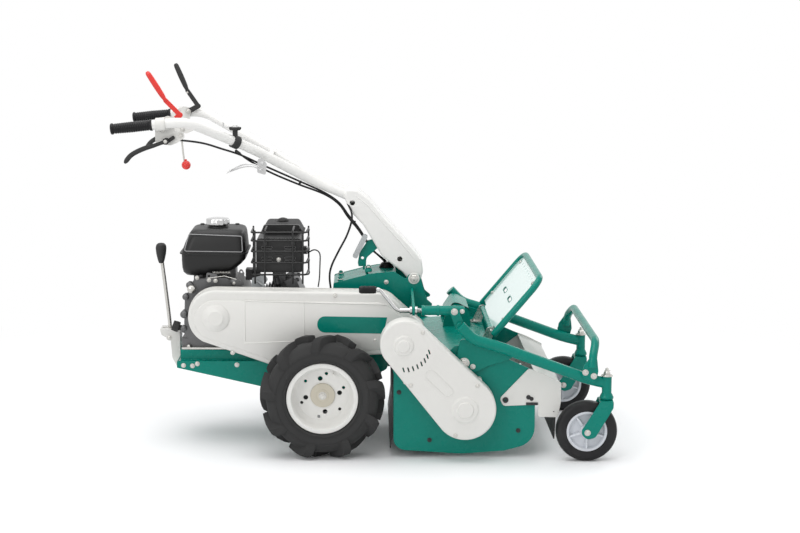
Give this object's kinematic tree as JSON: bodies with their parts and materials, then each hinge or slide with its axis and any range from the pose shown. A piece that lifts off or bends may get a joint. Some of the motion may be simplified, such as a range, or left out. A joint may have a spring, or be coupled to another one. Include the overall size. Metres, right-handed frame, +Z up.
{
  "type": "self-propelled hammer knife mower",
  "caption": "Walk-behind flail mower: petrol engine on a two-wheel frame, belt-driven hammer knife deck in front on arms with castors, raised lid, bent handle bar with levers.",
  "frame": {"origin": "bottom centre of the machine's box, on the ground", "axes": "+X is forward, +Z is up, the machine's right side is -Y"},
  "size_m": [1.6416, 0.738, 1.2679],
  "materials": {
    "green_paint": "gloss paint",
    "white_paint": "gloss paint",
    "cast_metal": "as cast",
    "black_enamel": "gloss enamel",
    "black_plastic": "grained",
    "dark_heat_paint": "matt heat paint",
    "plated_steel": "zinc plated",
    "bright_plating": "bright",
    "tyre_rubber": "matt",
    "rubber": "matt",
    "red_plastic": "gloss",
    "grey_plastic": "matt"
  },
  "bodies": {
    "frame": {"main_frame": "green_paint", "transmission_case": "cast_metal", "engine_block": "cast_metal", "fuel_tank": "black_enamel", "muffler": "dark_heat_paint", "muffler_guard": "dark_heat_paint", "recoil_starter": "dark_heat_paint", "air_cleaner": "black_plastic", "belt_cover": "white_paint", "engine_belt": "rubber", "deck_housing": "green_paint", "deck_belt_cover": "white_paint", "front_guard": "white_paint", "front_apron": "rubber", "rear_apron": "rubber", "rotor_belt": "rubber", "lid_bracket": "plated_steel", "handle_base": "green_paint", "cable_boot": "rubber", "gear_bracket": "white_paint"},
    "wheel_right": {"drive_tyre_right": "tyre_rubber", "drive_rim_right": "white_paint", "drive_axle_right": "plated_steel"},
    "wheel_left": {"drive_tyre_left": "tyre_rubber", "drive_rim_left": "white_paint", "drive_axle_left": "plated_steel"},
    "cap": {"fuel_cap": "bright_plating"},
    "crankshaft_pulley": {"engine_pulley": "plated_steel"},
    "cross_shaft": {"jackshaft": "plated_steel"},
    "cutter": {"rotor": "plated_steel"},
    "arms": {"castor_arm_left": "green_paint", "castor_arm_right": "green_paint", "front_bumper": "green_paint"},
    "fork_right": {"castor_fork_right": "green_paint"},
    "fork_left": {"castor_fork_left": "green_paint"},
    "castor_right": {"castor_tyre_right": "tyre_rubber", "castor_rim_right": "white_paint"},
    "castor_left": {"castor_tyre_left": "tyre_rubber", "castor_rim_left": "white_paint"},
    "crank": {"height_crank": "bright_plating"},
    "crank_handle": {"crank_grip": "black_plastic"},
    "adjuster": {"adjuster_tube": "green_paint"},
    "lid": {"front_lid": "green_paint"},
    "column": {"handle_column": "white_paint", "handle_bar": "white_paint", "grip_left": "rubber", "grip_right": "rubber", "lever_mount_left": "white_paint", "lever_mount_right": "white_paint", "throttle_box": "black_plastic", "control_cables": "rubber"},
    "latch": {"column_latch": "green_paint", "latch_pad": "grey_plastic"},
    "squeeze_right": {"hand_lever_right": "black_enamel"},
    "squeeze_left": {"hand_lever_left": "black_enamel"},
    "drive_control": {"drive_lever": "red_plastic"},
    "cutter_control": {"cutter_lever": "black_enamel"},
    "hanging_rod": {"control_rod": "red_plastic"},
    "throttle": {"throttle_lever": "bright_plating"},
    "gear_stick": {"shift_lever": "dark_heat_paint"}
  },
  "joints": [
    {"name": "right_wheel", "type": "hinge", "parent": "frame", "child": "wheel_right", "pos_m": [-0.13823, -0.274, 0.20388], "axis": [0, 1, 0], "continuous": true},
    {"name": "left_wheel", "type": "hinge", "parent": "frame", "child": "wheel_left", "pos_m": [-0.13823, 0.296, 0.20388], "axis": [0, 1, 0], "continuous": true},
    {"name": "fuel_cap_turn", "type": "hinge", "parent": "frame", "child": "cap", "pos_m": [-0.50023, 0.011, 0.73138], "axis": [0, 0, 1], "range_deg": [0, 90]},
    {"name": "cutter_spin", "type": "hinge", "parent": "frame", "child": "cutter", "pos_m": [0.32377, 0.011, 0.17888], "axis": [0, 1, 0], "continuous": true},
    {"name": "engine_spin", "type": "hinge", "parent": "frame", "child": "crankshaft_pulley", "pos_m": [-0.49323, -0.157, 0.44588], "axis": [0, 1, 0], "continuous": true},
    {"name": "cross_shaft_spin", "type": "hinge", "parent": "frame", "child": "cross_shaft", "pos_m": [0.12877, -0.157, 0.39188], "axis": [0, 1, 0], "continuous": true},
    {"name": "arms_tilt", "type": "hinge", "parent": "frame", "child": "arms", "pos_m": [0.32277, 0.011, 0.31888], "axis": [0, 1, 0], "range_deg": [-4, 6]},
    {"name": "adjuster_travel", "type": "slide", "parent": "frame", "child": "adjuster", "axis": [1, 0, 0], "range_m": [-0.0125, 0.0185]},
    {"name": "crank_turn", "type": "hinge", "parent": "frame", "child": "crank", "pos_m": [0.15377, -0.2755, 0.48888], "axis": [1, 0, 0], "range_deg": [-645, 430]},
    {"name": "crank_handle_spin", "type": "hinge", "parent": "crank", "child": "crank_handle", "pos_m": [0.01177, -0.2755, 0.55688], "axis": [1, 0, 0], "continuous": true},
    {"name": "right_castor_swivel", "type": "hinge", "parent": "arms", "child": "fork_right", "pos_m": [0.78477, -0.309, 0.22488], "axis": [0, 0, 1], "continuous": true},
    {"name": "left_castor_swivel", "type": "hinge", "parent": "arms", "child": "fork_left", "pos_m": [0.78477, 0.331, 0.22488], "axis": [0, 0, 1], "continuous": true},
    {"name": "right_castor_roll", "type": "hinge", "parent": "fork_right", "child": "castor_right", "pos_m": [0.72077, -0.309, 0.09888], "axis": [0, 1, 0], "continuous": true},
    {"name": "left_castor_roll", "type": "hinge", "parent": "fork_left", "child": "castor_left", "pos_m": [0.72077, 0.331, 0.09888], "axis": [0, 1, 0], "continuous": true},
    {"name": "lid_swing", "type": "hinge", "parent": "frame", "child": "lid", "pos_m": [0.41777, 0.011, 0.40288], "axis": [0, 1, 0], "range_deg": [-30, 70]},
    {"name": "column_lift", "type": "hinge", "parent": "frame", "child": "column", "pos_m": [0.16477, 0.011, 0.55888], "axis": [0, 1, 0], "range_deg": [0, 20]},
    {"name": "latch_swing", "type": "hinge", "parent": "column", "child": "latch", "pos_m": [0.03777, -0.025, 0.67488], "axis": [0, 1, 0], "range_deg": [0, 11]},
    {"name": "right_hand_lever", "type": "hinge", "parent": "column", "child": "squeeze_right", "pos_m": [-0.64223, -0.238, 1.03588], "axis": [0, 1, 0], "range_deg": [0, 15], "stiffness_Nm_per_rad": 5, "springref_deg": -11.46},
    {"name": "left_hand_lever", "type": "hinge", "parent": "column", "child": "squeeze_left", "pos_m": [-0.64223, 0.26, 1.03588], "axis": [0, 1, 0], "range_deg": [0, 15], "stiffness_Nm_per_rad": 5, "springref_deg": -11.46},
    {"name": "drive_lever_swing", "type": "hinge", "parent": "column", "child": "drive_control", "pos_m": [-0.62023, -0.208, 1.09888], "axis": [0, 1, 0], "range_deg": [-10, 25]},
    {"name": "cutter_lever_swing", "type": "hinge", "parent": "column", "child": "cutter_control", "pos_m": [-0.62023, 0.23, 1.09888], "axis": [0, 1, 0], "range_deg": [-10, 25]},
    {"name": "hanging_rod_swing", "type": "hinge", "parent": "column", "child": "hanging_rod", "pos_m": [-0.59623, -0.193, 1.05288], "axis": [0, 1, 0], "range_deg": [-15, 15]},
    {"name": "throttle_turn", "type": "hinge", "parent": "column", "child": "throttle", "pos_m": [-0.42544, -0.14437, 1.02568], "axis": [0, 0, 1], "range_deg": [-30, 30]},
    {"name": "gear_shift", "type": "hinge", "parent": "frame", "child": "gear_stick", "pos_m": [-0.66823, 0.011, 0.34388], "axis": [0, 1, 0], "range_deg": [-12, 6]}
  ],
  "couplings": [
    {"joint": "left_wheel", "follows": "right_wheel", "ratio": 1},
    {"joint": "engine_spin", "follows": "cutter_spin", "ratio": 1.1818},
    {"joint": "cross_shaft_spin", "follows": "cutter_spin", "ratio": 1.1818},
    {"joint": "adjuster_travel", "follows": "arms_tilt", "m_per_rad": 0.17},
    {"joint": "crank_turn", "follows": "arms_tilt", "ratio": -106.81}
  ]
}
